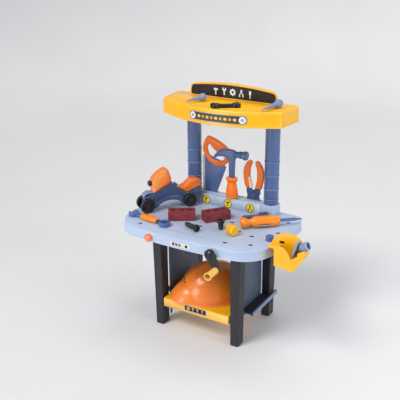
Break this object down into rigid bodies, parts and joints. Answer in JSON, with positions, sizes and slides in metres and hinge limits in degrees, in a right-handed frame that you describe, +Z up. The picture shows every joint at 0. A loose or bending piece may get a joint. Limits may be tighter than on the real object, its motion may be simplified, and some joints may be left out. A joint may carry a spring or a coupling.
{
  "type": "toy workbench",
  "caption": "Toy workbench on four legs with a tool rail, two columns carrying a top shelf and sign, a crank, a corner vise, hung and loose tools, a scooter and a helmet.",
  "frame": {"origin": "middle of the whole box in plan, on the floor", "axes": "+Z up, +X to the right of someone facing the workbench, +Y to its back"},
  "size_m": [0.5612, 0.3648, 0.6805],
  "materials": {
    "worktop_plastic": "fine moulded texture, satin",
    "slate_blue_plastic": "smooth, soft gloss",
    "yellow_plastic": "smooth, soft gloss",
    "orange_plastic": "smooth, soft gloss",
    "black_plastic": "smooth, soft gloss",
    "charcoal_plastic": "fine moulded texture, satin",
    "maroon_plastic": "dull, lightly textured",
    "silver_plastic": "silver-coloured, smooth"
  },
  "bodies": {
    "bench": {"worktop": "worktop_plastic", "leg_front_left": "charcoal_plastic", "leg_back_left": "charcoal_plastic", "leg_front_right": "charcoal_plastic", "leg_back_right": "charcoal_plastic", "end_panel_left": "charcoal_plastic", "end_panel_right": "charcoal_plastic", "lower_shelf": "yellow_plastic", "rail_front": "worktop_plastic", "rail_middle": "worktop_plastic", "rail_back": "worktop_plastic", "rail_block_left": "worktop_plastic", "rail_block_right": "worktop_plastic", "column_left_lower": "slate_blue_plastic", "column_left_upper": "slate_blue_plastic", "column_right_lower": "slate_blue_plastic", "column_right_upper": "slate_blue_plastic", "top_shelf": "yellow_plastic", "sign_board": "yellow_plastic", "vise_body": "yellow_plastic"},
    "knob": {"skirt_knob": "orange_plastic"},
    "crank": {"crank_arm": "black_plastic"},
    "crank_grip_sleeve": {"crank_grip": "yellow_plastic"},
    "vise_jaw_slide": {"vise_jaw": "slate_blue_plastic"},
    "vise_screw_handle": {"vise_screw": "slate_blue_plastic"},
    "saw": {"saw_handle": "orange_plastic", "saw_blade": "slate_blue_plastic"},
    "hammer": {"hammer_head": "slate_blue_plastic", "hammer_grip": "orange_plastic"},
    "pliers_fixed_half": {"pliers_half_back": "slate_blue_plastic", "pliers_grip_right": "orange_plastic", "pliers_pin": "slate_blue_plastic"},
    "pliers_moving_half": {"pliers_half_front": "slate_blue_plastic", "pliers_grip_left": "orange_plastic"},
    "spanner_tool": {"spanner": "slate_blue_plastic", "spanner_grip": "orange_plastic"},
    "screwdriver": {"screwdriver_grip": "orange_plastic", "screwdriver_shaft": "slate_blue_plastic"},
    "loose_bar": {"flat_bar": "slate_blue_plastic"},
    "loose_brick_left": {"brick_left": "maroon_plastic"},
    "loose_brick_right": {"brick_right": "maroon_plastic"},
    "loose_bolt_lying": {"bolt_lying": "black_plastic"},
    "loose_bolt_upright": {"bolt_upright": "black_plastic"},
    "loose_nut": {"nut_yellow": "yellow_plastic"},
    "loose_peg": {"peg_blue": "slate_blue_plastic"},
    "loose_screw_left": {"top_screw_left": "slate_blue_plastic"},
    "loose_screw_right": {"top_screw_right": "slate_blue_plastic"},
    "loose_black_spanner": {"black_spanner": "black_plastic"},
    "scooter": {"scooter_frame": "slate_blue_plastic", "scooter_fairing": "orange_plastic", "scooter_seat": "orange_plastic", "scooter_headlight": "black_plastic", "scooter_fender": "silver_plastic", "scooter_axle_front": "silver_plastic", "scooter_axle_rear": "silver_plastic"},
    "wheel_front_near": {"scooter_wheel_front_near": "black_plastic"},
    "wheel_front_far": {"scooter_wheel_front_far": "black_plastic"},
    "wheel_rear_near": {"scooter_wheel_rear_near": "black_plastic"},
    "wheel_rear_far": {"scooter_wheel_rear_far": "black_plastic"},
    "hard_hat": {"helmet": "orange_plastic"}
  },
  "joints": [
    {"name": "knob_turn", "type": "hinge", "parent": "bench", "child": "knob", "pos_m": [-0.14805, -0.12585, 0.31], "axis": [0, -1, 0], "range_deg": [-135, 135]},
    {"name": "crank_turn", "type": "hinge", "parent": "bench", "child": "crank", "pos_m": [0.04295, -0.13415, 0.307], "axis": [0, -1, 0], "continuous": true},
    {"name": "grip_spin", "type": "hinge", "parent": "crank", "child": "crank_grip_sleeve", "pos_m": [0.06458, -0.16045, 0.271], "axis": [0, -1, 0], "continuous": true},
    {"name": "vise_slide", "type": "slide", "parent": "bench", "child": "vise_jaw_slide", "axis": [0.866, 0, 0.5], "range_m": [-0.014, 0.004]},
    {"name": "vise_screw_turn", "type": "hinge", "parent": "vise_jaw_slide", "child": "vise_screw_handle", "pos_m": [0.24155, -0.05155, 0.3326], "axis": [0.866, 0, 0.5], "range_deg": [-860, 260]},
    {"name": "saw_lift", "type": "slide", "parent": "bench", "child": "saw", "axis": [0, 0, 1], "range_m": [0, 0.045]},
    {"name": "hammer_lift", "type": "slide", "parent": "bench", "child": "hammer", "axis": [0, 0, 1], "range_m": [0, 0.04]},
    {"name": "pliers_lift", "type": "slide", "parent": "bench", "child": "pliers_fixed_half", "axis": [0, 0, 1], "range_m": [0, 0.04]},
    {"name": "pliers_open", "type": "hinge", "parent": "pliers_fixed_half", "child": "pliers_moving_half", "pos_m": [0.01515, 0.15895, 0.365], "axis": [0, -1, 0], "range_deg": [-3, 18]},
    {"name": "spanner_lift", "type": "slide", "parent": "bench", "child": "spanner_tool", "axis": [0, 0, 1], "range_m": [0, 0.05]},
    {"name": "screwdriver_lift", "type": "slide", "parent": "bench", "child": "screwdriver", "axis": [0, 0, 1], "range_m": [0, 0.05]},
    {"name": "bar_lift", "type": "slide", "parent": "bench", "child": "loose_bar", "axis": [0, 0, 1], "range_m": [0, 0.05]},
    {"name": "brick_left_lift", "type": "slide", "parent": "bench", "child": "loose_brick_left", "axis": [0, 0, 1], "range_m": [0, 0.05]},
    {"name": "brick_right_lift", "type": "slide", "parent": "bench", "child": "loose_brick_right", "axis": [0, 0, 1], "range_m": [0, 0.05]},
    {"name": "bolt_lying_lift", "type": "slide", "parent": "bench", "child": "loose_bolt_lying", "axis": [0, 0, 1], "range_m": [0, 0.05]},
    {"name": "bolt_upright_lift", "type": "slide", "parent": "bench", "child": "loose_bolt_upright", "axis": [0, 0, 1], "range_m": [0, 0.05]},
    {"name": "nut_lift", "type": "slide", "parent": "bench", "child": "loose_nut", "axis": [0, 0, 1], "range_m": [0, 0.05]},
    {"name": "peg_lift", "type": "slide", "parent": "bench", "child": "loose_peg", "axis": [0, 0, 1], "range_m": [0, 0.05]},
    {"name": "screw_left_lift", "type": "slide", "parent": "bench", "child": "loose_screw_left", "axis": [0, 0, 1], "range_m": [0, 0.05]},
    {"name": "screw_right_lift", "type": "slide", "parent": "bench", "child": "loose_screw_right", "axis": [0, 0, 1], "range_m": [0, 0.05]},
    {"name": "black_spanner_lift", "type": "slide", "parent": "bench", "child": "loose_black_spanner", "axis": [0, 0, 1], "range_m": [0, 0.05]},
    {"name": "scooter_lift", "type": "slide", "parent": "bench", "child": "scooter", "axis": [0, 0, 1], "range_m": [0, 0.06]},
    {"name": "wheel_front_near_spin", "type": "hinge", "parent": "scooter", "child": "wheel_front_near", "pos_m": [-0.22748, -0.01708, 0.3453], "axis": [-0.8111, 0.585, 0], "continuous": true},
    {"name": "wheel_front_far_spin", "type": "hinge", "parent": "scooter", "child": "wheel_front_far", "pos_m": [-0.25863, 0.00538, 0.3453], "axis": [-0.8111, 0.585, 0], "continuous": true},
    {"name": "wheel_rear_near_spin", "type": "hinge", "parent": "scooter", "child": "wheel_rear_near", "pos_m": [-0.15202, 0.08754, 0.3438], "axis": [-0.8111, 0.585, 0], "continuous": true},
    {"name": "wheel_rear_far_spin", "type": "hinge", "parent": "scooter", "child": "wheel_rear_far", "pos_m": [-0.18317, 0.11001, 0.3438], "axis": [-0.8111, 0.585, 0], "continuous": true},
    {"name": "helmet_slide", "type": "slide", "parent": "bench", "child": "hard_hat", "axis": [0, -1, 0], "range_m": [0, 0.2]}
  ],
  "couplings": [
    {"joint": "vise_screw_turn", "follows": "vise_slide", "rad_per_m": 1047.2}
  ]
}
